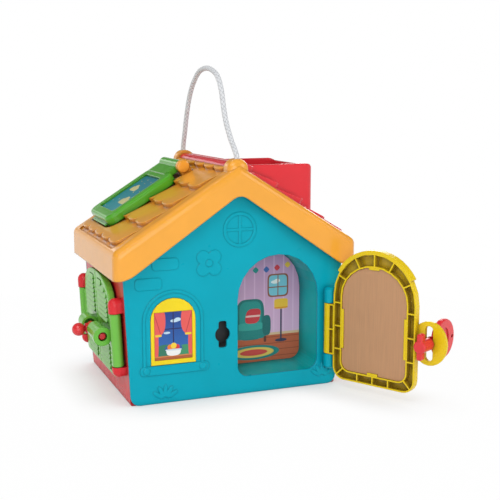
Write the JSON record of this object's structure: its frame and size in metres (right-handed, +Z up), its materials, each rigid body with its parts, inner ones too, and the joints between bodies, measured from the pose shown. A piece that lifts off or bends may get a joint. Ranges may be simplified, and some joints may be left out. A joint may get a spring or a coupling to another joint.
{
  "type": "activity house toy",
  "caption": "Gabled plastic play house with an opening front door and turning key, louvred side shutters with a slide bolt, a skylight flap, a roof lid with a hopper and a carrying rope.",
  "frame": {"origin": "middle of the house's underside, midway between the front and back walls", "axes": "+X to the right seen from the front, +Y to the back, +Z up; the front wall faces -Y"},
  "size_m": [0.3775, 0.3316, 0.3564],
  "materials": {
    "blue_plastic": "satin moulded",
    "teal_plastic": "satin moulded",
    "orange_plastic": "satin moulded",
    "red_plastic": "gloss moulded",
    "green_plastic": "gloss moulded",
    "light_green_plastic": "satin moulded",
    "yellow_plastic": "gloss moulded",
    "brown_board": "matte fine grain",
    "alcove_card": "printed",
    "skylight_card": "printed",
    "window_card": "printed",
    "rope": "braided",
    "black_plastic": "matte",
    "steel": "plain"
  },
  "bodies": {
    "house": {"front_wall": "blue_plastic", "back_wall": "blue_plastic", "left_wall": "red_plastic", "right_wall": "red_plastic", "base_plate": "red_plastic", "base_screw_front_left": "steel", "base_screw_front_right": "steel", "base_screw_back_left": "steel", "base_screw_back_right": "steel", "alcove": "teal_plastic", "alcove_picture": "alcove_card", "window_frame": "yellow_plastic", "window_picture": "window_card", "lock_cover": "black_plastic", "roof_shell": "orange_plastic", "ridge_pin": "steel", "flap_pin": "steel", "door_pin": "steel", "near_shutter_pin": "steel", "far_shutter_pin": "steel", "rope_handle": "rope"},
    "door": {"front_door": "yellow_plastic", "door_board": "brown_board"},
    "key": {"key_handle": "red_plastic", "key_bit": "red_plastic"},
    "flap": {"skylight_flap": "green_plastic", "skylight_picture": "skylight_card"},
    "lid": {"roof_lid": "red_plastic"},
    "shutter_near": {"near_shutter": "light_green_plastic"},
    "shutter_far": {"far_shutter": "light_green_plastic"},
    "bolt": {"slide_bolt": "red_plastic"}
  },
  "joints": [
    {"name": "front_door", "type": "hinge", "parent": "house", "child": "door", "pos_m": [0.108, -0.1, 0.067], "axis": [0, 0, 1], "range_deg": [-119, 20]},
    {"name": "door_key", "type": "hinge", "parent": "door", "child": "key", "pos_m": [0.16817, -0.20854, 0.069], "axis": [0.8746, 0.4848, 0], "range_deg": [0, 90]},
    {"name": "skylight", "type": "hinge", "parent": "house", "child": "flap", "pos_m": [-0.02894, 0.0435, 0.24353], "axis": [0, 1, 0], "range_deg": [0, 100]},
    {"name": "roof_lid", "type": "hinge", "parent": "house", "child": "lid", "pos_m": [0, 0, 0.2455], "axis": [0, -1, 0], "range_deg": [0, 75]},
    {"name": "near_shutter", "type": "hinge", "parent": "house", "child": "shutter_near", "pos_m": [-0.12794, -0.077, 0.04163], "axis": [-0.045, 0, 0.999], "range_deg": [0, 110]},
    {"name": "far_shutter", "type": "hinge", "parent": "house", "child": "shutter_far", "pos_m": [-0.12794, 0.077, 0.04163], "axis": [0.045, 0, -0.999], "range_deg": [0, 110]},
    {"name": "slide_bolt", "type": "slide", "parent": "shutter_near", "child": "bolt", "axis": [0, 1, 0], "range_m": [0, 0.013]}
  ]
}
